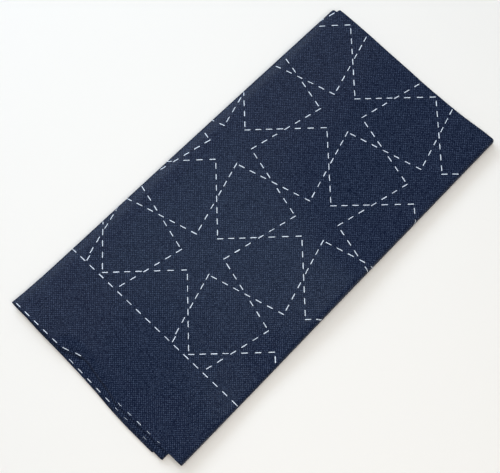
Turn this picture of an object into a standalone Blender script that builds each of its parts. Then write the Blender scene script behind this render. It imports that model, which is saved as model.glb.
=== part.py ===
"""Sashiko sampler cloth: a square of navy cotton, folded flat into a packet of four doubled layers.

The square is folded in half across, which makes the far end, and then twice lengthwise. The
doubled cloth is modelled as one sheet. Seen in section from the near end, it starts at a hidden
edge underneath, runs right, turns up and over at the right side, crosses the top, turns under at
the left side, and goes right and back left once more between the two outer layers.

The part's frame: X is across the packet, Y is along it with the far fold at +Y, Z is up. The
origin is at the bottom centre of the packet, which lies flat on z = 0.
"""

import bpy
import numpy as np

MM = 0.001

# The packet's plan, in millimetres. The cloth's flat side is twice the packet's length.
LENGTH = 171.2
NEAR_WIDTH = 87.1
FAR_WIDTH = 82.6
LEFT_SIDE_SLANT = 6.6
NEAR_LEFT_FLARE = 0.9
NEAR_RIGHT_TUCK = 0.4
CORNER_REACH = 0.05

# One layer is the cloth lying double, so it is about a millimetre thick with its own air.
LAYER = 1.0
GAP = 0.3
PITCH = LAYER + GAP

# How far the folds bulge out past the flat runs that they join.
OUTER_TURN = 2.1
INNER_TURN = 1.0

# The inner fold stops short of the right side, and less so at the far end.
INNER_FOLD_INSET_NEAR = 6.6
INNER_FOLD_INSET_FAR = 4.4

# The hidden side edges of the cloth stop short of the left fold.
UNDER_EDGE_INSET = 2.6
LOWER_EDGE_INSET = 3.8

# The upper inner layer is turned a little, so it sticks out at the near end and falls short at
# the far end. Fraction across from the left fold, overhang past the top layer's near edge.
NEAR_OVERHANG = (
    (0.00, 0.2),
    (0.24, 1.1),
    (0.49, 2.2),
    (0.66, 3.2),
    (0.80, 3.9),
    (0.93, 4.2),
    (1.00, 3.6),
)
FAR_SHORTFALL_LEFT = 2.4
FAR_SHORTFALL_RIGHT = 6.2
LOWER_INNER_SETBACK = 0.3
SETBACK_REACH = 0.1
UNDER_SETBACK_RIGHT = 0.2
UNDER_SETBACK_LEFT = 2.8

# The far edge of the top layer is a little hollow between these fractions across.
FAR_HOLLOW = 1.1
HOLLOW_START, HOLLOW_FULL, HOLLOW_EASE, HOLLOW_END = 0.20, 0.65, 0.80, 1.0

# The near edge of the top layer is drawn in and pressed down along one stretch.
DIP_START, DIP_FULL, DIP_EASE, DIP_END = 0.30, 0.38, 0.52, 0.66
DIP_DRAWN_IN = 2.7
DIP_REACH = 0.09

# The top layer rises clear of the one below, with a low ridge that drifts from right to left.
RISE = 0.75
RISE_MARGIN = 0.13
RIDGE = 0.55
RIDGE_NEAR_PLACE, RIDGE_FAR_PLACE = 0.78, 0.30
RIDGE_WIDTH = 0.26
RIDGE_MIDDLE, RIDGE_REACH = 0.48, 0.30

# The four layers, counted from the bottom.
UNDER, LOWER_INNER, UPPER_INNER, TOP = 0, 1, 2, 3

# Steps of the faceted sheet across the flat bottom layer and the three risen ones, round each
# turn, and along the packet.
UNDER_STEPS = 8
RISEN_STEPS = 18
OUTER_TURN_STEPS = 8
INNER_TURN_STEPS = 6
NEAR_STATIONS = (0.0, 0.012, 0.03, 0.06, 0.10)
EVEN_STATIONS = 15

CLOTH_COLOUR = (0.023, 0.036, 0.080, 1.0)
CLOTH_ROUGHNESS = 0.92
SHARP_ANGLE = np.radians(50.0)


def clear_scene():
    """Removes whatever the scene holds."""
    for item in list(bpy.data.objects):
        bpy.data.objects.remove(item, do_unlink=True)


def ease(value):
    """A smooth step from 0 to 1 as value goes from 0 to 1."""
    value = np.clip(value, 0.0, 1.0)
    return value * value * (3.0 - 2.0 * value)


def bell(value):
    """A smooth hump, 1 at value 0 and 0 past value -1 and 1."""
    return ease(1.0 - np.abs(value))


def left_side(along):
    """X of the left fold's outermost line, which slants in towards the far end."""
    flare = NEAR_LEFT_FLARE * np.exp(-along / CORNER_REACH)
    return -NEAR_WIDTH / 2 + LEFT_SIDE_SLANT * along - flare


def right_side(along):
    """X of the right fold's outermost line."""
    slant = FAR_WIDTH - NEAR_WIDTH + LEFT_SIDE_SLANT
    tuck = NEAR_RIGHT_TUCK * np.exp(-along / CORNER_REACH)
    return NEAR_WIDTH / 2 + slant * along - tuck


def inner_side(along):
    """X of the inner fold's outermost line."""
    inset = INNER_FOLD_INSET_NEAR + (INNER_FOLD_INSET_FAR - INNER_FOLD_INSET_NEAR) * along
    return right_side(along) - inset


def stretch(across, start, full, ease_off, end):
    """1 from full to ease_off, and falling smoothly to 0 at start and at end."""
    rising = ease((across - start) / (full - start))
    falling = ease((end - across) / (end - ease_off))
    return rising * falling


def dip(across):
    """How much of the near edge's dip there is at this fraction across, from 0 to 1."""
    return stretch(across, DIP_START, DIP_FULL, DIP_EASE, DIP_END)


def top_ends(across):
    """Y of the top layer's near and far edges at this fraction across from the left."""
    near = -LENGTH / 2 + DIP_DRAWN_IN * dip(across)
    hollow = stretch(across, HOLLOW_START, HOLLOW_FULL, HOLLOW_EASE, HOLLOW_END)
    return near, LENGTH / 2 - FAR_HOLLOW * hollow


def upper_inner_ends(across):
    """Y of the upper inner layer's near and far edges."""
    places, overhangs = np.array(NEAR_OVERHANG).T
    near = -LENGTH / 2 - np.interp(across, places, overhangs)
    shortfall = FAR_SHORTFALL_LEFT + (FAR_SHORTFALL_RIGHT - FAR_SHORTFALL_LEFT) * across
    return near, LENGTH / 2 - shortfall


def lower_inner_ends(across):
    """Y of the lower inner layer's near and far edges, which stay under the upper one's."""
    near, far = upper_inner_ends(across)
    setback = LOWER_INNER_SETBACK * ease((1.0 - across) / SETBACK_REACH)
    return near + setback, far - setback


def under_ends(across):
    """Y of the bottom layer's near and far edges."""
    setback = UNDER_SETBACK_LEFT + (UNDER_SETBACK_RIGHT - UNDER_SETBACK_LEFT) * across
    return -LENGTH / 2 + setback, LENGTH / 2 - setback


def rise(across, along):
    """How far the top layer rises: a soft swell, a drifting ridge and the near edge's dip."""
    inside = ease(across / RISE_MARGIN) * ease((1.0 - across) / RISE_MARGIN)
    drift = RIDGE_NEAR_PLACE + (RIDGE_FAR_PLACE - RIDGE_NEAR_PLACE) * along
    ridge = np.exp(-(((across - drift) / RIDGE_WIDTH) ** 2))
    ridge = ridge * np.exp(-(((along - RIDGE_MIDDLE) / RIDGE_REACH) ** 2))
    pressed = dip(across) * bell(along / DIP_REACH)
    return inside * (RISE + RIDGE * ridge) * (1.0 - pressed)


def height(layer, across, along):
    """Height of the middle of a layer. The layers share the rise, so the air between is even."""
    return LAYER / 2 + PITCH * layer + rise(across, along) * layer / TOP


def run(start_x, end_x, ends, layer, steps, leftward, along):
    """One layer of the sheet as an array of points, steps + 1 across and one for each station.

    start_x and end_x are arrays along the packet, and ends gives the layer's near and far Y at
    a fraction across from the left."""
    part = np.linspace(0.0, 1.0, steps + 1)[:, None]
    x = start_x + (end_x - start_x) * part
    across = 1.0 - part if leftward else part
    across = across + 0.0 * along
    near, far = ends(across)
    y = near + (far - near) * along
    return np.stack([x, y, height(layer, across, along)], axis=-1)


def turn(before, after, bulge, steps):
    """A half-round turn from the last line of one run to the first line of the next."""
    angle = (np.linspace(0.0, np.pi, steps + 1)[1:-1])[:, None, None]
    share = (1.0 - np.cos(angle)) / 2
    points = before[-1] + (after[0] - before[-1]) * share
    points[..., 0] += bulge * np.sin(angle[..., 0])
    return points


def sheet_points():
    """The middle surface of the folded sheet, in millimetres: points along the fold path, then
    stations from the near end to the far end."""
    even = np.linspace(NEAR_STATIONS[-1], 1.0, EVEN_STATIONS + 1)[1:]
    along = np.concatenate([NEAR_STATIONS, even])
    left = left_side(along) + INNER_TURN + LAYER / 2
    right = right_side(along) - OUTER_TURN - LAYER / 2
    inner = inner_side(along) - INNER_TURN - LAYER / 2
    under_edge = left_side(along) + UNDER_EDGE_INSET
    lower_edge = left_side(along) + LOWER_EDGE_INSET

    under = run(under_edge, right, under_ends, UNDER, UNDER_STEPS, False, along)
    top = run(right, left, top_ends, TOP, RISEN_STEPS, True, along)
    upper = run(left, inner, upper_inner_ends, UPPER_INNER, RISEN_STEPS, False, along)
    lower = run(inner, lower_edge, lower_inner_ends, LOWER_INNER, RISEN_STEPS, True, along)
    return np.concatenate(
        [
            under,
            turn(under, top, OUTER_TURN, OUTER_TURN_STEPS),
            top,
            turn(top, upper, -INNER_TURN, INNER_TURN_STEPS),
            upper,
            turn(upper, lower, INNER_TURN, INNER_TURN_STEPS),
            lower,
        ]
    )


def centred(points):
    """The points moved so that the middle of their box is over the origin."""
    low = points.min(axis=(0, 1))
    high = points.max(axis=(0, 1))
    shift = (low + high) / 2
    shift[2] = 0.0
    return points - shift


def cloth_material():
    """Plain navy cotton."""
    material = bpy.data.materials.new("navy_cotton")
    material.use_nodes = True
    shader = material.node_tree.nodes["Principled BSDF"]
    shader.inputs["Base Color"].default_value = CLOTH_COLOUR
    shader.inputs["Roughness"].default_value = CLOTH_ROUGHNESS
    shader.inputs["Metallic"].default_value = 0.0
    material.diffuse_color = CLOTH_COLOUR
    return material


def folded_cloth():
    """The folded cloth: one sheet on the fold path, given its thickness."""
    points = centred(sheet_points()) * MM
    rows, stations = points.shape[:2]
    corner = (np.arange(rows - 1)[:, None] * stations + np.arange(stations - 1)).ravel()
    faces = np.stack([corner, corner + 1, corner + stations + 1, corner + stations], axis=1)
    mesh = bpy.data.meshes.new("folded_cloth")
    mesh.from_pydata(points.reshape(-1, 3).tolist(), [], faces.tolist())
    mesh.shade_smooth()
    mesh.set_sharp_from_angle(angle=SHARP_ANGLE)
    mesh.materials.append(cloth_material())
    cloth = bpy.data.objects.new("folded_cloth", mesh)
    bpy.context.collection.objects.link(cloth)
    thickness = cloth.modifiers.new("thickness", "SOLIDIFY")
    thickness.thickness = LAYER * MM
    thickness.offset = 0.0
    thickness.use_even_offset = True
    thickness.use_rim = True
    return cloth


clear_scene()
folded_cloth()
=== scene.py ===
"""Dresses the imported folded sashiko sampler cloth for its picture.

The cloth is one piece of navy cotton, about 32 by 34 cm, with white guide dashes printed on one
face. It is folded in half across, print outside, which makes the packet's far end. The doubled
cloth is then folded lengthwise: seen from the near end it runs under, round the right side, over
the top, round the left side and twice more between. The cloth is rebuilt here as the two thin
plies of each layer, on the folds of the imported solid, and every dash is a thin print on it.

Axes as in the frame: X across the packet, Y along it to the far fold, Z up, in metres. A flat
place on the cloth is measured along its printed face, first across and then along, so that on the
top layer it is also the plan place.
"""

import math

import bpy
import numpy as np
from bpy.props import FloatProperty, FloatVectorProperty, IntProperty, PointerProperty
from mathutils import Matrix, Vector


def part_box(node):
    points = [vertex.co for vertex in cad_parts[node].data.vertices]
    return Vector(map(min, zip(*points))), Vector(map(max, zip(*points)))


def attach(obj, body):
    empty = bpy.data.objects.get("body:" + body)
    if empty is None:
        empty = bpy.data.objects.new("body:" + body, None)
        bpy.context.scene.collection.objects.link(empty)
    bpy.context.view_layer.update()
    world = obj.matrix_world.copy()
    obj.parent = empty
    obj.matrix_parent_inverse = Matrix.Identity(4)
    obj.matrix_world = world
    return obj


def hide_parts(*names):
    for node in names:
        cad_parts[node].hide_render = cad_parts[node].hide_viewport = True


bl_info = {
    "name": "Folded sashiko cloth",
    "version": (1, 0, 0),
    "blender": (4, 5, 0),
    "location": "View3D > Sidebar > Sashiko",
    "description": "Lays a folded sampler cloth on its frame, prints its dashes and sets the stage",
    "category": "Object",
}

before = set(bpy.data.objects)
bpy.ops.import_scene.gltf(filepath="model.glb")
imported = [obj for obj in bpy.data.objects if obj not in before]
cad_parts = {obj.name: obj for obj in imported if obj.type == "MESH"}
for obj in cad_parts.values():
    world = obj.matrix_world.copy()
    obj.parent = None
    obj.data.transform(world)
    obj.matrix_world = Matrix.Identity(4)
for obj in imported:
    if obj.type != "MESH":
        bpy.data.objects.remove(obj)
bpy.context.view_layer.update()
LOW, HIGH = (np.array(corner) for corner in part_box("folded_cloth"))

MM = 0.001

# The layers, counted from the bottom, and the two plies of each. The outer ply's print faces out
# of the whole packet, on its top and its underside.
UNDER, LOWER_INNER, UPPER_INNER, TOP = 0, 1, 2, 3
OUTER_PLY, INNER_PLY = 0, 1

# Plan of the folds, in millimetres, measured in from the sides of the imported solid's box.
LEFT_FOLD_INSET_NEAR = 1.5
LEFT_FOLD_INSET_FAR = 7.8
LEFT_FOLD_BOW = 0.2
LEFT_NEAR_FLARE = 0.8
RIGHT_FOLD_INSET_NEAR = 1.93
RIGHT_FOLD_INSET_FAR = -0.55
RIGHT_NEAR_TUCK = 0.1
CORNER_REACH = 9.0
NEAR_EDGE_INSET = 4.55
FAR_FOLD_STANDS_OUT = 0.7

# About how much narrower than the solid's box a flat run is, in millimetres.
RUN_NARROWER = 8.0

# The inner fold stops short of the right side, and its outer ply lies nested further in.
INNER_FOLD_INSET_NEAR = 6.45
INNER_FOLD_INSET_FAR = 4.4
NESTED_INSET = 3.7
NESTED_REACH = 30.0

# How far the folds bulge past the flat runs, the power that makes the thick one square, and how
# deep the soft fold at the far end is.
RIGHT_BULGE = 1.3
RIGHT_SQUARENESS = 0.5
LEFT_BULGE = 0.55
FAR_BULGE = 0.8
RIGHT_TURN_STEPS = 12
LEFT_TURN_STEPS = 9
FAR_TURN_STEPS = 8

# The left fold hangs down past the hidden side edges: how far, the width that hangs, and the
# power of the bend.
LEFT_HANG_NEAR = 1.1
LEFT_HANG_FAR = 0.7
LEFT_HANG_WIDTH_NEAR = 8.5
LEFT_HANG_WIDTH_FAR = 6.0
LEFT_HANG_BEND = 1.6

# Flat places across of the cloth's two hidden side edges, which follow the thread.
SIDE_EDGE_IN_LOWER = -189.8
SIDE_EDGE_IN_UNDER = 126.5

# Rows of the grid, in millimetres from the near edge and from the start of the far zone, and
# extra columns beside the folds, from a flat run's left end and from its right one.
NEAR_ROWS = (0.0, 0.3, 0.6, 0.9, 1.2, 1.5, 1.8, 2.1, 2.4, 2.8, 3.3, 4.0, 5.0, 6.8, 9.0)
FAR_ROWS = (2.2, 4.0, 5.2, 6.0, 6.6, 7.1, 7.4)
BESIDE_LEFT = (0.2, 0.4, 0.6, 0.8, 1.0, 1.2, 1.4, 1.6, 1.8, 3.3, 4.5)
BESIDE_RIGHT = (0.4, 0.6, 0.8)

# Near edges by layer and ply: fraction across the packet from the left, and how far the edge
# stands out past the top layer's own.
NEAR_EDGES = {
    (TOP, OUTER_PLY): ((0.0, 0.0), (0.6, 0.0), (0.86, 0.0), (0.92, -0.35), (1.0, -0.35)),
    (TOP, INNER_PLY): ((0.0, -0.3), (0.5, -0.6), (1.0, -0.9)),
    (UPPER_INNER, OUTER_PLY): (
        (0.0, 0.35),
        (0.05, 0.5),
        (0.09, 0.52),
        (0.12, 0.66),
        (0.17, 0.9),
        (0.28, 1.12),
        (0.36, 1.37),
        (0.52, 2.1),
        (0.65, 3.05),
        (0.8, 3.48),
        (1.0, 3.62),
    ),
    (UPPER_INNER, INNER_PLY): (
        (0.0, 0.0),
        (0.2, 0.55),
        (0.36, 1.1),
        (0.5, 1.65),
        (0.63, 2.0),
        (0.8, 2.35),
        (0.9, 2.75),
        (1.0, 2.9),
    ),
    (LOWER_INNER, OUTER_PLY): ((0.0, -0.5), (0.36, 0.6), (0.65, 1.9), (0.8, 2.3), (1.0, 2.7)),
    (LOWER_INNER, INNER_PLY): ((0.0, -0.5), (0.36, 0.5), (0.65, 1.8), (0.8, 2.2), (1.0, 2.6)),
    (UNDER, OUTER_PLY): ((0.0, -1.4), (0.6, -1.4), (0.9, -1.0), (1.0, -0.7)),
    (UNDER, INNER_PLY): ((0.0, -1.6), (0.6, -1.7), (1.0, -0.9)),
}

# Far folds by layer: fraction across, and how far the fold falls short of the furthest line.
FAR_FOLDS = {
    TOP: (
        (0.0, 0.0),
        (0.06, 0.05),
        (0.21, 0.25),
        (0.305, 0.53),
        (0.4, 0.73),
        (0.5, 0.93),
        (0.6, 1.18),
        (0.7, 1.15),
        (0.795, 0.97),
        (0.845, 0.72),
        (0.893, 0.42),
        (0.94, 0.15),
        (1.0, 0.0),
    ),
    UPPER_INNER: ((0.0, 2.1), (0.5, 3.6), (1.0, 5.8)),
    LOWER_INNER: ((0.0, 2.8), (0.5, 3.9), (1.0, 5.9)),
    UNDER: ((0.0, 1.9), (0.5, 1.6), (0.85, 1.0), (0.95, -0.3), (1.0, -0.9)),
}

# At the far end the left fold's own strip of the top layer stops short, in one step: how far it
# stops short, and where in from the fold the step is and how wide.
CORNER_STEP = 1.5
CORNER_STEP_AT = 2.3
CORNER_STEP_WIDTH = 0.4

# The stretch of the top layer's near edge that is drawn in and rolled under: fraction across,
# with how far the edge is drawn in and the length of cloth that is rolled.
DRAWN_IN = (
    (0.0, 0.0),
    (0.235, 0.0),
    (0.262, 0.05),
    (0.29, 0.33),
    (0.32, 1.05),
    (0.338, 1.85),
    (0.367, 2.6),
    (0.395, 3.05),
    (0.465, 2.15),
    (0.54, 1.1),
    (0.6, 0.4),
    (0.65, 0.0),
    (1.0, 0.0),
)
ROLLED = ((0.0, 0.0), (0.37, 0.0), (0.4, 1.6), (0.54, 1.6), (0.6, 1.2), (0.645, 0.0), (1.0, 0.0))
MOST_ROLLED = max(rolled for across, rolled in ROLLED)
ROLL_RADIUS = 0.85

# The layers are pressed together there: fraction across, with the share that they are pressed.
# Then how far in from the near edge that goes, for the layers below and for the top layer, the
# power of its fading, and how close layers and plies come, with the room for the roll.
PRESSED = ((0.0, 0.0), (0.26, 0.0), (0.34, 1.0), (0.54, 1.0), (0.66, 0.3), (0.8, 0.0), (1.0, 0.0))
PRESSED_REACH = 16.0
TOP_PRESSED_REACH = 7.0
PRESSED_BEND = 2
PRESSED_LAYER_SPACING = 0.95
PRESSED_PLY_SPACING = 0.45
ROLL_ROOM = 1.0

# The inner layers droop towards the furthest near edge: how far, over what reach, and the power
# of the bend.
NEAR_DROOP = 1.8
NEAR_DROOP_REACH = 5.0
NEAR_DROOP_BEND = 2.0

# The top layer's swells and hollows, in millimetres: the place of each, the way that it runs, in
# degrees, half its length, half its width and its height.
RELIEF_COLUMNS = ("across", "along", "turned", "half_length", "half_width", "height")
RELIEF = (
    (0.0, 0.0, 90.0, 120.0, 60.0, 0.9),
    (38.0, 5.0, 0.0, 30.0, 24.0, 1.3),
    (44.0, -44.0, 0.0, 16.0, 17.0, -0.9),
)
# How soon the top layer has risen clear of the left fold.
RISES_FROM_LEFT = 9.0

# The print, in millimetres. Its zigzags run three ways through a triangular lattice, which
# reaches that many steps from its origin.
PRINT_ORIGIN = (-5.0, 55.6)
LATTICE = 44.7
LATTICE_REACH = 9
SIDE_SLOPE = math.radians(45.0)
BORDER_INSET = 29.5
EDGE_LINE_INSET = 0.75
# A zigzag's dash whose middle is outside a border by less than the slack, or inside it by less
# than the gap, is moved to the gap.
BORDER_SLACK = 0.3
BORDER_GAP = 1.6

# The dashes on one side of a zigzag, in millimetres from the side's first corner: the zigzag's
# mean way in degrees, whether the side rises, then the first dash, the pitch and the number of
# dashes before the side is crossed, and the same after.
SIDE_COLUMNS = ("turned", "rises", "first", "pitch", "number", "next_first", "next_pitch", "next_number")
SIDES = (
    (0.0, True, 0.95, 4.17, 4, 20.4, 5.0, 3),
    (0.0, False, 2.7, 4.4, 4, 20.4, 4.4, 3),
    (60.0, True, 2.9, 4.73, 3, 18.4, 4.13, 4),
    (60.0, False, 2.3, 4.65, 3, 16.4, 4.72, 4),
    (-60.0, True, 3.2, 4.67, 3, 19.7, 4.72, 3),
    (-60.0, False, 1.0, 4.75, 4, 20.9, 4.75, 3),
)

# The straight lines of dashes: one dash's place on the line, and the pitch. The other edge is
# the far one of the flat cloth, which lies inside the packet.
BORDER_DASHES = (-36.5, 4.88)
EDGE_DASHES = (-41.5, 4.86)
OTHER_EDGE_DASHES = (-90.8, 4.91)

# How much ink the lines near those two edges took: flat place across, and the share. A dash with
# less than the least ink doesn't show.
EDGE_INK = (
    (-90.0, 0.88),
    (-11.0, 0.88),
    (-8.5, 0.0),
    (9.0, 0.0),
    (12.0, 0.32),
    (16.8, 0.4),
    (21.6, 0.55),
    (26.5, 0.3),
    (31.3, 0.15),
    (34.0, 0.0),
    (60.0, 0.0),
    (64.0, 1.0),
)
OTHER_EDGE_INK = (
    (-140.0, 0.9),
    (-121.0, 0.0),
    (-115.3, 0.2),
    (-110.4, 0.1),
    (-105.4, 0.22),
    (-100.5, 0.3),
    (-95.6, 0.55),
    (-89.0, 0.65),
    (-74.0, 0.65),
    (-72.0, 0.0),
    (-60.0, 0.0),
)
LEAST_INK = 0.12

# One dash's outline: fraction of its half length, with the fraction of its half width there. The
# stations between let a dash bend round a fold.
DASH_OUTLINE = (
    (-1.0, 0.55),
    (-0.88, 0.95),
    (-0.6, 1.0),
    (-0.3, 1.0),
    (0.0, 1.0),
    (0.3, 1.0),
    (0.6, 1.0),
    (0.88, 0.95),
    (1.0, 0.55),
)
# How far the ink stands off the cloth, in millimetres, how uneven the dashes' lengths and widths
# are, and the power by which faint ink shortens them.
INK_HEIGHT = 0.03
LENGTH_UNEVENNESS = 0.04
WIDTH_UNEVENNESS = 0.08
FAINT_SHORTENS = 0.3

# Rounds of the search for a flat place on the folded grid.
SEARCH_ROUNDS = 4

# The yarn: waves of the threads' wander in a metre, about 17 mm each, then the slubs, 1.1 threads
# thick and eight times as long, and the tufts of fibre across one thread.
WANDERS_IN_A_METRE = 60.0
SLUBS_IN_A_THREAD = 0.9
SLUB_STRETCH = 0.12
TUFTS_IN_A_THREAD = 2.0

# What sets the colour weaker or stronger, with the least and the most of each: the set of threads that is
# on top, a painted sheen that shows as a fine check; the crown of a thread, a painted highlight on the
# crowns and painted shade in the hollows; and the uneven dye: its own tone, the crossing and the tuft of
# fibre.
MEAN_DYE_AND_PAINTED_LIGHT = 0.5
DYE_AND_PAINTED_LIGHT_RANGES = {
    "on_top": (0.25, 1.75),
    "crown": (0.7, 1.4),
    "tone": (0.96, 1.04),
    "crossing": (0.8, 1.2),
    "tuft": (0.0, 2.0),
}

# How high the crossings' crowns stand, as shares from the least to the most, and in millimetres.
CROWN_SHARES = (0.5, 1.0)
CROWN_HEIGHT = 0.12

# Grains of the printed pigment in a metre, 0.67 mm each, a little over a thread, and how they thin
# or thicken the white.
GRAINS_IN_A_METRE = 1500.0
GRAIN_RANGE = (0.75, 1.1)

# The photograph's camera, in millimetres, with its turn about its own axis and the nearest
# distance that it sees.
CAMERA_PLACE = (68.1, -77.2, 384.3)
CAMERA_AIM = (3.1, -4.5, 5.2)
CAMERA_ROLL = math.radians(1.5)
NEAREST_SEEN = 10.0

# The floor lies a little under the cloth, in millimetres, so that they share no face.
FLOOR_DROP = 0.05

# The lights: place, aim and size in metres, power in watts, colour, and whether they show in the
# gloss.
LIGHT_COLUMNS = ("name", "place", "aim", "size", "power", "colour", "glossy")
LIGHTS = (
    ("overhead", (0.2, -0.1, 0.6), (0.2, -0.1, 0.0), (0.5, 0.4), 2.7, "#fff9f1", False),
    ("softbox", (-0.09, 0.09, 0.62), (-0.09, 0.09, 0.0), (0.33, 0.18), 0.44, "#dcf4ff", True),
    ("window", (-0.5, 0.1, 0.43), (0.0, 0.0, 0.0), (0.5, 0.26), 2.05, "#dfeeff", True),
    ("reflector", (-0.33, 0.12, 0.62), (-0.33, 0.12, 0.0), (0.38, 0.6), 0.88, "#fffcf8", True),
)
WORLD_STRENGTH = 0.15


def linear(hex_colour):
    """An sRGB hex colour as linear red, green and blue."""
    parts = [int(hex_colour[place : place + 2], 16) / 255 for place in (1, 3, 5)]
    return tuple(
        part / 12.92 if part <= 0.04045 else ((part + 0.055) / 1.055) ** 2.4 for part in parts
    )


class ClothSizes(bpy.types.PropertyGroup):
    """The cloth and how it lies."""

    ply: FloatProperty(
        name="Ply", description="Thickness of the cotton", default=0.36 * MM, unit="LENGTH"
    )
    ply_spacing: FloatProperty(
        name="Ply spacing",
        description="Between the middles of the two plies of one layer",
        default=0.64 * MM,
        unit="LENGTH",
    )
    layer_spacing: FloatProperty(
        name="Layer spacing",
        description="Between the middles of one layer and the next",
        default=1.3 * MM,
        unit="LENGTH",
    )
    grid: FloatProperty(
        name="Grid", description="Spacing of the surface's grid", default=2.2 * MM, unit="LENGTH"
    )
    thread: FloatProperty(
        name="Thread spacing", description="From one thread to the next", default=0.508 * MM, unit="LENGTH"
    )
    # Navy is the crowns' colour with a painted highlight on them, and deep is the hollows' colour with
    # painted shade in them; a factor picks between the two.
    navy: FloatVectorProperty(
        name="Navy",
        description="The crowns of the dyed threads",
        default=linear("#2e3950"),
        subtype="COLOR",
    )
    deep: FloatVectorProperty(
        name="Deep",
        description="The hollows between the threads",
        default=linear("#061129"),
        subtype="COLOR",
    )


class PrintSizes(bpy.types.PropertyGroup):
    """The printed guide dashes."""

    dash: FloatProperty(
        name="Dash", description="Length of a zigzag's dash", default=2.4 * MM, unit="LENGTH"
    )
    line_dash: FloatProperty(
        name="Line dash",
        description="Length of a straight line's dash",
        default=2.5 * MM,
        unit="LENGTH",
    )
    width: FloatProperty(
        name="Width", description="Width of a dash", default=0.31 * MM, unit="LENGTH"
    )
    seed: IntProperty(name="Seed", description="Picks the print's small unevenness", default=7)
    white: FloatVectorProperty(
        name="White", description="The printed marks", default=linear("#dfeafa"), subtype="COLOR"
    )


class StageSizes(bpy.types.PropertyGroup):
    """The floor and the camera's lens."""

    floor: FloatProperty(name="Floor", description="Side of the floor", default=6.0, unit="LENGTH")
    pale: FloatVectorProperty(
        name="Floor colour", description="Plain pale floor", default=linear("#f3f1ee"), subtype="COLOR"
    )
    lens: FloatProperty(name="Lens", description="Focal length", default=74.9, unit="CAMERA")


def ease(value):
    """A smooth step from 0 to 1 as value goes from 0 to 1: three squares less two cubes."""
    value = np.clip(value, 0.0, 1.0)
    return value * value * (3.0 - 2.0 * value)


def along_table(table, place):
    """The table's second column at a place in its first. Each row has a tangent whose slope is the
    harmonic mean of the slopes on its two sides, or none where they differ in sign, and between
    two rows the value passes smoothly from one tangent to the other."""
    places, values = np.array(table).T
    place = np.clip(place, places[0], places[-1])
    row = np.clip(np.searchsorted(places, place, side="right") - 1, 0, len(places) - 2)
    rises = np.diff(values) / np.diff(places)
    before, after = rises[:-1], rises[1:]
    both = np.where(before * after > 0.0, before * after, 0.0)
    inner = 2.0 * both / np.where(both > 0.0, before + after, 1.0)
    slopes = np.concatenate([rises[:1], inner, rises[-1:]])
    start = values[row] + (place - places[row]) * slopes[row]
    stop = values[row + 1] - (places[row + 1] - place) * slopes[row + 1]
    part = (place - places[row]) / (places[row + 1] - places[row])
    return start + (stop - start) * ease(part)


def what_is_left(distance, reach, power):
    """The fraction of a reach in millimetres that is left at a distance in metres, to a power."""
    return np.clip(1.0 - distance / (reach * MM), 0.0, 1.0) ** power


def near_line():
    """Y of the top layer's near edge."""
    return LOW[1] + NEAR_EDGE_INSET * MM


def far_line():
    """Y that the far fold reaches."""
    return HIGH[1] + FAR_FOLD_STANDS_OUT * MM


def part_along(y):
    """0 at the top layer's near edge and 1 at the far fold."""
    return (y - near_line()) / (far_line() - near_line())


def near_to_far(near, far, y):
    """A value that passes evenly from one at the near edge to one at the far fold."""
    return near + (far - near) * part_along(y)


def near_corner(y):
    """1 at the near edge, dying away exponentially over CORNER_REACH."""
    return np.exp(-(y - near_line()) / (CORNER_REACH * MM))


def left_fold(y):
    """X of the left fold's outermost line: a slant with a parabolic bow, flared at its near end."""
    inset = near_to_far(LEFT_FOLD_INSET_NEAR, LEFT_FOLD_INSET_FAR, y)
    bow = LEFT_FOLD_BOW * 4.0 * part_along(y) * (1.0 - part_along(y))
    return LOW[0] + (inset - bow - LEFT_NEAR_FLARE * near_corner(y)) * MM


def right_fold(y):
    """X of the right fold's outermost line, straight but for a tuck at its near end."""
    inset = near_to_far(RIGHT_FOLD_INSET_NEAR, RIGHT_FOLD_INSET_FAR, y)
    return HIGH[0] - (inset + RIGHT_NEAR_TUCK * near_corner(y)) * MM


def inner_fold(y):
    """X of the inner fold's outermost line."""
    return right_fold(y) - near_to_far(INNER_FOLD_INSET_NEAR, INNER_FOLD_INSET_FAR, y) * MM


def part_across(x, y):
    """0 at the left fold and 1 at the right one."""
    return (x - left_fold(y)) / (right_fold(y) - left_fold(y))


def relief(x, y):
    """Height of the top layer's swells and hollows. Each is its height times a Gaussian along it
    and one across it, and their sum fades to nothing at the left fold, as one less a falling
    exponential of the distance."""
    total = np.zeros(np.broadcast(x, y).shape)
    for row in RELIEF:
        swell = dict(zip(RELIEF_COLUMNS, row))
        cosine = math.cos(math.radians(swell["turned"]))
        sine = math.sin(math.radians(swell["turned"]))
        across = x - swell["across"] * MM
        along = y - swell["along"] * MM
        lengthwise = (across * cosine + along * sine) / (swell["half_length"] * MM)
        sideways = (along * cosine - across * sine) / (swell["half_width"] * MM)
        total = total + swell["height"] * MM * np.exp(-(lengthwise**2) - sideways**2)
    from_left = np.maximum(x - left_fold(y), 0.0) / (RISES_FROM_LEFT * MM)
    return total * (1.0 - np.exp(-from_left))


def pressed(x, y, reach=PRESSED_REACH):
    """How far the layers are pressed together at the rolled stretch, from 0 to 1: the table's
    share, times what is left of the reach from the near edge, to a power."""
    share = along_table(PRESSED, part_across(x, y))
    return share * what_is_left(y - near_line(), reach, PRESSED_BEND)


def left_hang(x, y):
    """How far the left fold's own strip hangs down: what is left of its width, to a power."""
    width = near_to_far(LEFT_HANG_WIDTH_NEAR, LEFT_HANG_WIDTH_FAR, y)
    hang = near_to_far(LEFT_HANG_NEAR, LEFT_HANG_FAR, y) * MM
    return hang * what_is_left(x - left_fold(y), width, LEFT_HANG_BEND)


def near_droop(y):
    """How far the inner layers droop at the near end: what is left of the reach from the
    furthest edge, to a power."""
    furthest = near_line() - NEAR_EDGES[UPPER_INNER, OUTER_PLY][-1][1] * MM
    return NEAR_DROOP * MM * what_is_left(y - furthest, NEAR_DROOP_REACH, NEAR_DROOP_BEND)


def half_layer(sizes):
    """Half the thickness of two plies with the air between them."""
    return (sizes.ply_spacing + sizes.ply) / 2


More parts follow.
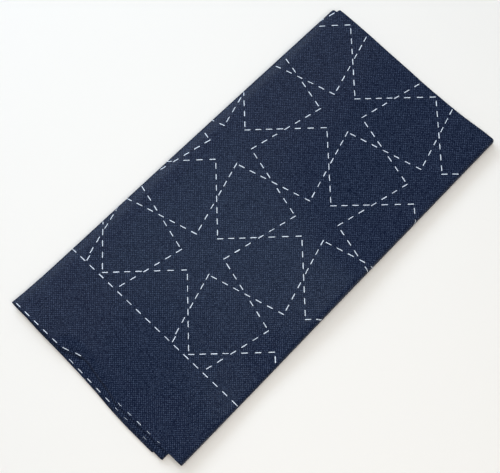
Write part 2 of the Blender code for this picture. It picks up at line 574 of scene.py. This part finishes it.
def layer_height(sizes, layer, x, y):
    """Height of a layer's middle: half a layer, and a spacing for each layer below it. The
    layers share the relief evenly. At the rolled stretch they are pressed together, with room
    for the roll under the top layer. At the left the two upper layers hang down, and at the near
    end the two inner ones droop."""
    height = half_layer(sizes) + (sizes.layer_spacing + relief(x, y) / TOP) * layer
    if layer == UNDER:
        return height
    low = half_layer(sizes) + PRESSED_LAYER_SPACING * MM * layer
    reach = PRESSED_REACH
    if layer == TOP:
        low = low + ROLL_ROOM * MM * along_table(ROLLED, part_across(x, y)) / MOST_ROLLED
        reach = TOP_PRESSED_REACH
    height = height + (low - height) * pressed(x, y, reach)
    if layer in (UPPER_INNER, TOP):
        height = height - left_hang(x, y)
    if layer in (LOWER_INNER, UPPER_INNER):
        height = height - near_droop(y)
    return height


def rolled_edge(points, along, across):
    """The top layer with its near edge drawn in and rolled under. The drawing-in fades smoothly
    over the near zone. A point nearer the edge than the rolled length goes round a circle of
    ROLL_RADIUS, by an angle that is its distance past the roll's start over the radius."""
    from_edge = along - near_line()
    drawn = along_table(DRAWN_IN, across) * MM * ease(1.0 - from_edge / (NEAR_ROWS[-1] * MM))
    radius = ROLL_RADIUS * MM
    past = np.clip(along_table(ROLLED, across) * MM - from_edge, 0.0, np.pi * radius)
    angle = past / radius
    inwards = drawn + past - radius * np.sin(angle)
    upwards = radius * (np.cos(angle) - 1.0)
    return points + np.stack([np.zeros_like(inwards), inwards, upwards], axis=-1)


def run_columns(sizes, layer, ply, parts, ends):
    """A flat run of the fold path as a grid of points, with each one's flat place along. parts
    are the columns' fractions across it, and ends gives its left and right ends in X at given Y."""
    parts = parts[:, None]

    def x_at(y):
        left, right = ends(y)
        return left + (right - left) * parts

    near_across = part_across(x_at(near_line()), near_line())
    near = near_line() - along_table(NEAR_EDGES[layer, ply], near_across) * MM
    far_x = x_at(far_line())
    short = along_table(FAR_FOLDS[layer], part_across(far_x, far_line())) * MM
    if layer == TOP:
        beside = (far_x - left_fold(far_line())) / MM
        step = ease((CORNER_STEP_AT - beside) / CORNER_STEP_WIDTH + 0.5)
        short = short + (CORNER_STEP * MM - short) * step
    far = far_line() - short - FAR_BULGE * MM

    start = near_line() + NEAR_ROWS[-1] * MM
    stop = far_line() - (FAR_BULGE + FAR_ROWS[-1]) * MM
    number = int(round((stop - start) / sizes.grid))
    middle_rows = np.tile(np.linspace(start, stop, number + 1)[1:], (len(parts), 1))
    far_rows = stop + (far - stop) * np.array(FAR_ROWS) / FAR_ROWS[-1]
    near_parts = np.array(NEAR_ROWS) / NEAR_ROWS[-1]
    near_rows = near + (start - near) * near_parts
    flat_near_rows = np.tile(near_line() + (start - near_line()) * near_parts, (len(parts), 1))
    y = np.concatenate([near_rows, middle_rows, far_rows], axis=1)
    flat = np.concatenate([flat_near_rows, middle_rows, far_rows], axis=1)

    x = x_at(y)
    return np.stack([x, y, layer_height(sizes, layer, x, y)], axis=-1), flat


def turn_columns(before, after, bulge, steps, power=1.0):
    """A turn between two runs, each given and returned as its points with their flat places
    along. The share crossed is half of one less the angle's cosine, and the bulge goes with its
    sine to a power, which makes it squarer than half an ellipse below one."""
    angle = np.linspace(0.0, np.pi, steps + 1)[1:-1][:, None]
    share = (1.0 - np.cos(angle)) / 2.0
    points = before[0][-1] + (after[0][0] - before[0][-1]) * share[..., None]
    points[..., 0] += bulge * MM * np.sin(angle) ** power
    return points, before[1][-1] + (after[1][0] - before[1][-1]) * share


def path_grid(sizes, ply):
    """The doubled cloth's middle surface, with one ply's own edges: columns along the fold path
    from the hidden edge underneath, rows from the near edge to the far fold, and each point's
    flat place. Flat places across are lengths along the path from the top layer's middle."""
    width = (HIGH[0] - LOW[0]) - RUN_NARROWER * MM
    even = np.linspace(0.0, 1.0, int(round(width / sizes.grid)) + 1)
    beside_left = np.array(BESIDE_LEFT) * MM / width
    beside_right = 1.0 - np.array(BESIDE_RIGHT) * MM / width
    parts = np.unique(np.concatenate([even, beside_left, beside_right]))
    right_turn = math.pi * (RIGHT_BULGE * MM + sizes.layer_spacing * TOP / 2) / 2
    left_turn = math.pi * (LEFT_BULGE * MM + sizes.layer_spacing / 2) / 2

    def left_end(y):
        return left_fold(y) + LEFT_BULGE * MM + half_layer(sizes)

    def right_end(y):
        return right_fold(y) - RIGHT_BULGE * MM - half_layer(sizes)

    def inner_end(y):
        return inner_fold(y) - LEFT_BULGE * MM - half_layer(sizes)

    def under_ends(y):
        return 2 * right_end(y) + right_turn - SIDE_EDGE_IN_UNDER * MM, right_end(y)

    def lower_ends(y):
        edge = SIDE_EDGE_IN_LOWER * MM + 2 * left_turn + 2 * (inner_end(y) - left_end(y))
        return edge, inner_end(y)

    under = run_columns(sizes, UNDER, ply, parts, under_ends)
    top = run_columns(sizes, TOP, ply, parts[::-1], lambda y: (left_end(y), right_end(y)))
    upper = run_columns(sizes, UPPER_INNER, ply, parts, lambda y: (left_end(y), inner_end(y)))
    lower = run_columns(sizes, LOWER_INNER, ply, parts[::-1], lower_ends)
    if ply == OUTER_PLY:
        for points in (upper[0], lower[0]):
            y = points[..., 1]
            beside = ease(1.0 - (inner_end(y) - points[..., 0]) / (NESTED_REACH * MM))
            points[..., 0] -= near_to_far(NESTED_INSET, 0.0, y) * MM * beside
    sections = [
        under,
        turn_columns(under, top, RIGHT_BULGE, RIGHT_TURN_STEPS, RIGHT_SQUARENESS),
        top,
        turn_columns(top, upper, -LEFT_BULGE, LEFT_TURN_STEPS),
        upper,
        turn_columns(upper, lower, LEFT_BULGE, LEFT_TURN_STEPS),
        lower,
    ]
    points = np.concatenate([section[0] for section in sections])
    along = np.concatenate([section[1] for section in sections])
    steps = np.diff(points[..., (0, 2)], axis=0)
    length = np.zeros(along.shape)
    length[1:] = np.cumsum(np.hypot(steps[..., 0], steps[..., 1]), axis=0)
    first = len(under[0]) + RIGHT_TURN_STEPS - 1
    middle = first + len(top[0]) // 2
    across = points[middle, :, 0] + length[middle] - length
    on_top = slice(first, first + len(top[0]))
    near_across = part_across(points[on_top, :1, 0], near_line())
    points[on_top] = rolled_edge(points[on_top], along[on_top], near_across)
    return points, np.stack([across, along], axis=-1)


def out_of_face(points):
    """Unit vectors out of a grid's printed face: the cross product of its steps along and its
    steps from column to column, made one long."""
    across, along = np.gradient(points, axis=(0, 1))
    out = np.cross(along, across)
    return out / np.linalg.norm(out, axis=-1, keepdims=True)


def cloth_grid(sizes):
    """The whole cloth's middle surface and flat places: the outer ply from the near edge to the
    far fold, half an ellipse round it, and the inner ply back to its own near edge. A ply lies
    half a ply spacing out of the layer's middle."""
    outer, outer_flat = path_grid(sizes, OUTER_PLY)
    inner, inner_flat = path_grid(sizes, INNER_PLY)

    def offset(points):
        share = pressed(points[..., 0], points[..., 1])
        spacing = sizes.ply_spacing + (PRESSED_PLY_SPACING * MM - sizes.ply_spacing) * share
        return out_of_face(points) * spacing[..., None] / 2

    angle = np.linspace(0.0, np.pi, FAR_TURN_STEPS + 1)[1:-1]
    lift = offset(outer)
    forward = np.array((0.0, FAR_BULGE * MM, 0.0))
    fold = outer[:, -1:] + lift[:, -1:] * np.cos(angle)[:, None] + forward * np.sin(angle)[:, None]
    fold_length = math.pi * (FAR_BULGE * MM + sizes.ply_spacing / 2) / 2
    fold_flat = np.repeat(outer_flat[:, -1:], len(angle), axis=1)
    fold_flat[..., 1] += fold_length * angle / np.pi
    back_flat = inner_flat[:, ::-1].copy()
    back_flat[..., 1] = 2 * (far_line() - FAR_BULGE * MM) + fold_length - back_flat[..., 1]
    points = np.concatenate([outer + lift, fold, (inner - offset(inner))[:, ::-1]], axis=1)
    return points, np.concatenate([outer_flat, fold_flat, back_flat], axis=1)


def show_mesh(name, points, faces, material):
    """A smooth mesh object of the points and faces, with its material."""
    mesh = bpy.data.meshes.new(name)
    mesh.from_pydata(points.reshape(-1, 3), [], faces)
    mesh.shade_smooth()
    mesh.materials.append(material)
    piece = bpy.data.objects.new(name, mesh)
    bpy.context.scene.collection.objects.link(piece)
    return piece


def pattern_dashes():
    """Flat middles and headings of the zigzags' dashes. A zigzag's mean line runs midway between
    two rows of lattice points. Its sides start at corners a quarter of a lattice step off that
    line, and run at half a right angle to it, and the three zigzags are one turned three ways."""
    steps = np.arange(-LATTICE_REACH, LATTICE_REACH + 1)
    across, along = (grid.ravel() for grid in np.meshgrid(steps, steps))
    stars = np.stack([across + along / 2, along * math.sqrt(3.0) / 2], axis=-1)
    stars = stars * LATTICE + PRINT_ORIGIN
    low = (math.sqrt(3.0) - 1.0) / 4 * LATTICE
    middles = []
    headings = []
    for row in SIDES:
        side = dict(zip(SIDE_COLUMNS, row))
        corner = np.array((0.0, low) if side["rises"] else (LATTICE / 2, low + LATTICE / 2))
        heading = SIDE_SLOPE if side["rises"] else -SIDE_SLOPE
        places = np.concatenate(
            [
                side["first"] + side["pitch"] * np.arange(side["number"]),
                side["next_first"] + side["next_pitch"] * np.arange(side["next_number"]),
            ]
        )
        way = np.array((math.cos(heading), math.sin(heading)))
        turned = math.radians(side["turned"])
        turn = np.array(
            (
                (math.cos(turned), math.sin(turned)),
                (-math.sin(turned), math.cos(turned)),
            )
        )
        local = (corner + places[:, None] * way) @ turn
        middles.append((stars[:, None] + local).reshape(-1, 2))
        headings.append(np.full(len(middles[-1]), heading + turned))
    return np.concatenate(middles) * MM, np.concatenate(headings)


def line_dashes(axis, at, first, last, dashes):
    """Flat middles and headings of a straight line's dashes: along axis 0 or 1, at one place on
    the other axis, from first to last, at whole pitches from the dash that dashes gives."""
    place, pitch = (value * MM for value in dashes)
    numbers = np.arange(math.ceil((first - place) / pitch), math.floor((last - place) / pitch) + 1)
    middles = np.full((len(numbers), 2), at)
    middles[:, axis] = place + pitch * numbers
    return middles, np.full(len(numbers), axis * math.pi / 2)


def all_dashes(sizes, flat):
    """Flat middles, headings, lengths and ink of every dash: the zigzags within the borders, the
    four borders, and a line close inside each edge of the cloth."""
    left, right = SIDE_EDGE_IN_LOWER * MM, SIDE_EDGE_IN_UNDER * MM
    near, far = flat[0, 0, 1], flat[0, -1, 1]
    border = BORDER_INSET * MM
    edge_line = EDGE_LINE_INSET * MM
    middles, headings = pattern_dashes()
    low, high = np.array(((left, near), (right, far)))
    slack = border - BORDER_SLACK * MM
    kept = np.all((middles > low + slack) & (middles < high - slack), axis=1)
    gap = border + BORDER_GAP * MM
    middles = np.clip(middles, low + gap, high - gap)
    lines = []
    for inset, dashes, far_dashes in (
        (border, BORDER_DASHES, BORDER_DASHES),
        (edge_line, EDGE_DASHES, OTHER_EDGE_DASHES),
    ):
        lines += [
            line_dashes(0, near + inset, left + inset, right - inset, dashes),
            line_dashes(0, far - inset, left + inset, right - inset, far_dashes),
            line_dashes(1, left + inset, near + inset, far - inset, dashes),
            line_dashes(1, right - inset, near + inset, far - inset, dashes),
        ]
    line_middles, line_headings = (np.concatenate(part) for part in zip(*lines))
    middles = np.concatenate([middles[kept], line_middles])
    headings = np.concatenate([headings[kept], line_headings])
    lengths = np.where(np.arange(len(middles)) < kept.sum(), sizes.dash, sizes.line_dash)
    ink = np.ones(len(middles))
    for at, table in ((near + edge_line, EDGE_INK), (far - edge_line, OTHER_EDGE_INK)):
        on_line = np.abs(middles[:, 1] - at) < edge_line / 2
        ink[on_line] = along_table(table, middles[on_line, 0] / MM)
    inked = ink > LEAST_INK
    return middles[inked], headings[inked], lengths[inked], ink[inked, None]


def place_in(lines, value):
    """Where each value falls in its own rising line of numbers, as an index with a fraction: the
    number before it, and how far it is on the way to the next."""
    index = np.clip((lines < value[:, None]).sum(axis=1) - 1, 0, lines.shape[1] - 2)
    each = np.arange(len(value))
    low, high = lines[each, index], lines[each, index + 1]
    return index + (value - low) / (high - low)


def on_cloth(grid, flat, places, lift):
    """Points on the cloth's printed face at flat places, lifted off its middle surface. The grid
    column is found from a row's places across and the row from a column's places along, in turn,
    and the point lies between its four neighbours by those fractions."""
    columns, rows = grid.shape[:2]
    column = np.full(len(places), columns / 2)
    row = np.full(len(places), rows / 2)
    for search in range(SEARCH_ROUNDS):
        nearest = np.clip(np.rint(row).astype(int), 0, rows - 1)
        column = place_in(-flat[:, nearest, 0].T, -places[:, 0])
        nearest = np.clip(np.rint(column).astype(int), 0, columns - 1)
        row = place_in(flat[nearest, :, 1], places[:, 1])
    first = np.clip(column.astype(int), 0, columns - 2)
    second = np.clip(row.astype(int), 0, rows - 2)
    crosswise = np.clip(column - first, 0.0, 1.0)[:, None]
    lengthwise = np.clip(row - second, 0.0, 1.0)[:, None]
    surface = np.concatenate([grid, out_of_face(grid)], axis=-1)
    before, after = (
        surface[near, second] * (1.0 - lengthwise) + surface[near, second + 1] * lengthwise
        for near in (first, first + 1)
    )
    found = before * (1.0 - crosswise) + after * crosswise
    return found[:, :3] + found[:, 3:] * lift


def add_node(tree, kind, inputs=(), **settings):
    """Adds one node and sets its settings. A named input takes a value, the link of a socket, or
    the link of another node's first socket."""
    node = tree.nodes.new(kind)
    for setting, value in settings.items():
        setattr(node, setting, value)
    for name, value in dict(inputs).items():
        if isinstance(value, bpy.types.Node):
            value = value.outputs[0]
        if isinstance(value, bpy.types.NodeSocket):
            tree.links.new(value, node.inputs[name])
        else:
            node.inputs[name].default_value = value
    return node


def new_material(name):
    """A material with nothing in its node tree, and that tree."""
    material = bpy.data.materials.new(name)
    material.use_nodes = True
    tree = material.node_tree
    tree.nodes.clear()
    return material, tree


def dyed_cotton(sizes):
    """Navy cotton, yarn spun, woven plain and dyed in the piece. The two sets of threads catch the light
    differently, and this is painted into the colour as a fine check of painted sheen. Spun yarn is uneven:
    some threads are thicker, each has slubs along it, and no two crossings are dyed alike. The colour also
    paints the crowns of the threads paler and greyer, a painted highlight, and the hollows darker, painted
    shade. Spun cotton is matt, with a faint dull gloss where the light glances off its pressed face."""
    material, tree = new_material("piece_dyed_plain_weave_cotton")
    flat = add_node(tree, "ShaderNodeUVMap", uv_map="flat")
    waves = {"Vector": flat, "Scale": WANDERS_IN_A_METRE, "Detail": 1.0}
    wander = add_node(tree, "ShaderNodeTexNoise", waves).outputs["Color"]
    counted = {0: flat, 1: (1.0 / sizes.thread, 1.0 / sizes.thread, 0.0), 2: wander}
    threads = add_node(tree, "ShaderNodeVectorMath", counted, operation="MULTIPLY_ADD")
    places = add_node(tree, "ShaderNodeSeparateXYZ", {0: threads}).outputs

    # The two sets of threads, each an input of the nodes after the loop: the thread's number, its
    # own tone with its slubs, and its round back.
    numbers = {}
    tones = {}
    backs = {}
    ways = (("X", (1.0, SLUB_STRETCH, 0.0)), ("Y", (SLUB_STRETCH, 1.0, 0.0)))
    for each, (axis, stretch) in enumerate(ways):
        place = places[axis]
        numbers[each] = add_node(tree, "ShaderNodeMath", {0: place}, operation="FLOOR")
        own = add_node(tree, "ShaderNodeTexWhiteNoise", {"W": numbers[each]}, noise_dimensions="1D")
        drawn = add_node(
            tree, "ShaderNodeVectorMath", {0: threads, 1: stretch}, operation="MULTIPLY"
        )
        slubs = {"Vector": drawn, "Scale": SLUBS_IN_A_THREAD, "Detail": 2.0}
        slub = add_node(tree, "ShaderNodeTexNoise", slubs)
        tones[each] = add_node(tree, "ShaderNodeMath", {0: own, 1: slub}, operation="ADD")
        angle = add_node(tree, "ShaderNodeMath", {0: place, 1: math.pi}, operation="MULTIPLY")
        backs[each] = add_node(tree, "ShaderNodeMath", {0: angle}, operation="SINE")

    # Plain weave: the two sets are on top by turns, and a crown is where both backs are high.
    total = add_node(tree, "ShaderNodeMath", numbers, operation="ADD")
    # Which set is on top also sets a painted sheen in the colour, as a fine check.
    on_top = add_node(tree, "ShaderNodeMath", {0: total, 1: 1.0}, operation="PINGPONG")
    product = add_node(tree, "ShaderNodeMath", backs, operation="MULTIPLY")
    crown = add_node(tree, "ShaderNodeMath", {0: product}, operation="ABSOLUTE")

    # The tone that shows is the top thread's, the mean of its own tone and its slubs.
    sums = {"Factor": on_top, "A": tones[0], "B": tones[1]}
    doubled = add_node(tree, "ShaderNodeMix", sums)
    tone = add_node(tree, "ShaderNodeMath", {0: doubled, 1: 0.5}, operation="MULTIPLY")

    # Each crossing of two threads takes the dye in its own way, and so does each tuft of fibre.
    cells = {}
    for name, number in (("crossing", 1.0), ("tuft", TUFTS_IN_A_THREAD)):
        finer = {0: threads, "Scale": number}
        cell = add_node(tree, "ShaderNodeVectorMath", finer, operation="SCALE")
        cell = add_node(tree, "ShaderNodeVectorMath", {0: cell}, operation="FLOOR")
        cells[name] = add_node(
            tree, "ShaderNodeTexWhiteNoise", {"Vector": cell}, noise_dimensions="2D"
        )

    # The strength is the mean one times a factor for each cause: uneven dye, painted sheen, and a painted
    # highlight on the crowns with painted shade in the hollows. It picks the colour between the shaded
    # hollows and the lit crowns.
    strength = MEAN_DYE_AND_PAINTED_LIGHT
    causes = {"on_top": on_top, "crown": crown, "tone": tone, **cells}
    for name, (least, most) in DYE_AND_PAINTED_LIGHT_RANGES.items():
        ends = {"Value": causes[name], "To Min": least, "To Max": most}
        factors = {0: strength, 1: add_node(tree, "ShaderNodeMapRange", ends)}
        strength = add_node(tree, "ShaderNodeMath", factors, operation="MULTIPLY")
    ends = {0: strength, 6: (*sizes.deep, 1.0), 7: (*sizes.navy, 1.0)}
    dye_and_painted_light = add_node(tree, "ShaderNodeMix", ends, data_type="RGBA", clamp_factor=False)

    # The crowns stand up, some higher than others.
    least, most = CROWN_SHARES
    ends = {"Value": cells["crossing"], "To Min": least, "To Max": most}
    factors = {0: crown, 1: add_node(tree, "ShaderNodeMapRange", ends)}
    raised = add_node(tree, "ShaderNodeMath", factors, operation="MULTIPLY")
    heights = {"Height": raised, "Strength": 0.8, "Distance": CROWN_HEIGHT * MM}
    finish = {
        "Base Color": dye_and_painted_light.outputs[2],
        "Roughness": 0.6,
        "Specular IOR Level": 0.03,
        "Coat Weight": 0.13,
        "Coat Roughness": 0.17,
        "Normal": add_node(tree, "ShaderNodeBump", heights),
    }
    shader = add_node(tree, "ShaderNodeBsdfPrincipled", finish)
    add_node(tree, "ShaderNodeOutputMaterial", {"Surface": shader})
    return material


def printed_white(sizes):
    """White pigment printed on the cotton: matt, and a little uneven in grains as large as a
    thread's crossing, where it lies thicker or thinner."""
    material, tree = new_material("white_pigment_print")
    place = add_node(tree, "ShaderNodeTexCoord").outputs["Object"]
    grains = {"Vector": place, "Scale": GRAINS_IN_A_METRE, "Detail": 2.0}
    noise = add_node(tree, "ShaderNodeTexNoise", grains)
    least, most = GRAIN_RANGE
    ends = {"Value": noise, "To Min": least, "To Max": most}
    ink = {0: tuple(sizes.white), "Scale": add_node(tree, "ShaderNodeMapRange", ends)}
    colour = add_node(tree, "ShaderNodeVectorMath", ink, operation="SCALE")
    finish = {"Base Color": colour, "Roughness": 0.8}
    shader = add_node(tree, "ShaderNodeBsdfPrincipled", finish)
    add_node(tree, "ShaderNodeOutputMaterial", {"Surface": shader})
    return material


def matt_board(sizes):
    """The plain pale floor, a matt white board."""
    material, tree = new_material("matt_white_board")
    finish = {"Base Color": (*sizes.pale, 1.0), "Roughness": 0.9}
    shader = add_node(tree, "ShaderNodeBsdfPrincipled", finish)
    add_node(tree, "ShaderNodeOutputMaterial", {"Surface": shader})
    return material


class LayCloth(bpy.types.Operator):
    """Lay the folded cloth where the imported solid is"""

    bl_idname = "sashiko.lay_cloth"
    bl_label = "Lay the folded cloth"

    def execute(self, context):
        sizes = context.scene.sashiko_cloth
        points, flat = cloth_grid(sizes)
        columns, rows = points.shape[:2]
        corner = (np.arange(columns - 1)[:, None] * rows + np.arange(rows - 1)).ravel()
        faces = np.stack([corner, corner + 1, corner + rows + 1, corner + rows], axis=1)
        cloth = show_mesh("sashiko_cloth", points, faces, dyed_cotton(sizes))
        layer = cloth.data.uv_layers.new(name="flat")
        layer.data.foreach_set("uv", flat.reshape(-1, 2)[faces.ravel()].ravel())
        thickness = cloth.modifiers.new("thickness", "SOLIDIFY")
        thickness.thickness = sizes.ply
        thickness.offset = 0.0
        thickness.use_rim = True
        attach(cloth, "root")
        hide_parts("folded_cloth")
        return {"FINISHED"}


class PrintDashes(bpy.types.Operator):
    """Print the white guide dashes on the laid cloth"""

    bl_idname = "sashiko.print_dashes"
    bl_label = "Print the guide dashes"

    def execute(self, context):
        cloth_sizes = context.scene.sashiko_cloth
        sizes = context.scene.sashiko_print
        grid, flat = cloth_grid(cloth_sizes)
        middles, headings, lengths, ink = all_dashes(sizes, flat)
        uneven = np.random.default_rng(sizes.seed).normal(size=(2, len(lengths), 1))
        longer = 1.0 + LENGTH_UNEVENNESS * uneven[0]
        wider = 1.0 + WIDTH_UNEVENNESS * uneven[1]
        half_length = lengths[:, None] / 2 * longer * ink**FAINT_SHORTENS
        half_width = sizes.width / 2 * wider * ink
        ends, widths = np.array(DASH_OUTLINE).T
        way = np.stack([np.cos(headings), np.sin(headings)], axis=-1)[:, None]
        side = np.stack([-np.sin(headings), np.cos(headings)], axis=-1)[:, None]
        line = middles[:, None] + way * (half_length * ends)[..., None]
        reach = side * (half_width * widths)[..., None]
        outline = np.stack([line - reach, line + reach], axis=2)
        lift = cloth_sizes.ply / 2 + INK_HEIGHT * MM
        points = on_cloth(grid, flat, outline.reshape(-1, 2), lift)
        first = np.arange(len(lengths))[:, None] * 2 * len(ends) + np.arange(len(ends) - 1) * 2
        first = first.ravel()
        faces = np.stack([first, first + 2, first + 3, first + 1], axis=1)
        dashes = show_mesh("printed_dashes", points, faces, printed_white(sizes))
        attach(dashes, "root")
        return {"FINISHED"}


def area_light(name, place, aim, size, power, colour, glossy):
    """A soft oblong light at a place, turned to its aim. It can be left out of gloss."""
    light = bpy.data.lights.new(name, "AREA")
    light.shape = "RECTANGLE"
    light.size, light.size_y = size
    light.energy = power
    light.color = linear(colour)
    lamp = bpy.data.objects.new(name, light)
    lamp.visible_glossy = glossy
    lamp.location = place
    lamp.rotation_euler = (Vector(aim) - Vector(place)).to_track_quat("-Z", "Y").to_euler()
    bpy.context.scene.collection.objects.link(lamp)


class SetStage(bpy.types.Operator):
    """Set the pale floor, the soft light and the photograph's camera"""

    bl_idname = "sashiko.set_stage"
    bl_label = "Set the stage"

    def execute(self, context):
        sizes = context.scene.sashiko_stage
        half = sizes.floor / 2
        plan = np.array([(-half, -half), (half, -half), (half, half), (-half, half)])
        corners = np.concatenate([plan, np.full((len(plan), 1), -FLOOR_DROP * MM)], axis=1)
        floor = show_mesh("floor", corners, np.array([(0, 1, 2, 3)]), matt_board(sizes))
        for row in LIGHTS:
            area_light(**dict(zip(LIGHT_COLUMNS, row)))
        world = bpy.data.worlds.new("studio")
        world.use_nodes = True
        background = world.node_tree.nodes["Background"]
        background.inputs["Color"].default_value = (1.0, 1.0, 1.0, 1.0)
        background.inputs["Strength"].default_value = WORLD_STRENGTH
        context.scene.world = world
        camera = bpy.data.objects.new("camera", bpy.data.cameras.new("camera"))
        context.scene.collection.objects.link(camera)
        place, aim = Vector(CAMERA_PLACE) * MM, Vector(CAMERA_AIM) * MM
        turn = (aim - place).to_track_quat("-Z", "Y").to_matrix().to_4x4()
        roll = Matrix.Rotation(CAMERA_ROLL, 4, "Z")
        camera.matrix_world = Matrix.Translation(place) @ turn @ roll
        camera.data.lens = sizes.lens
        camera.data.clip_start = NEAREST_SEEN * MM
        context.scene.view_settings.view_transform = "Standard"
        context.scene.camera = camera
        return {"FINISHED"}


class SashikoPanel(bpy.types.Panel):
    """The cloth's sizes and steps"""

    bl_idname = "VIEW3D_PT_sashiko"
    bl_label = "Folded sashiko cloth"
    bl_space_type = "VIEW_3D"
    bl_region_type = "UI"
    bl_category = "Sashiko"

    def draw(self, context):
        for operator, sizes in (
            (LayCloth, context.scene.sashiko_cloth),
            (PrintDashes, context.scene.sashiko_print),
            (SetStage, context.scene.sashiko_stage),
        ):
            box = self.layout.box()
            for name in sizes.bl_rna.properties.keys():
                if name not in ("rna_type", "name"):
                    box.prop(sizes, name)
            box.operator(operator.bl_idname)


CLASSES = (ClothSizes, PrintSizes, StageSizes, LayCloth, PrintDashes, SetStage, SashikoPanel)


def register():
    """Registers the classes and gives the scene its sizes."""
    for each in CLASSES:
        bpy.utils.register_class(each)
    bpy.types.Scene.sashiko_cloth = PointerProperty(type=ClothSizes)
    bpy.types.Scene.sashiko_print = PointerProperty(type=PrintSizes)
    bpy.types.Scene.sashiko_stage = PointerProperty(type=StageSizes)


def unregister():
    """Takes the sizes and the classes away again."""
    for name in ("sashiko_cloth", "sashiko_print", "sashiko_stage"):
        delattr(bpy.types.Scene, name)
    for each in reversed(CLASSES):
        bpy.utils.unregister_class(each)


def main():
    """Makes every piece and the stage."""
    register()
    bpy.ops.sashiko.lay_cloth()
    bpy.ops.sashiko.print_dashes()
    bpy.ops.sashiko.set_stage()


if __name__ == "__main__":
    main()
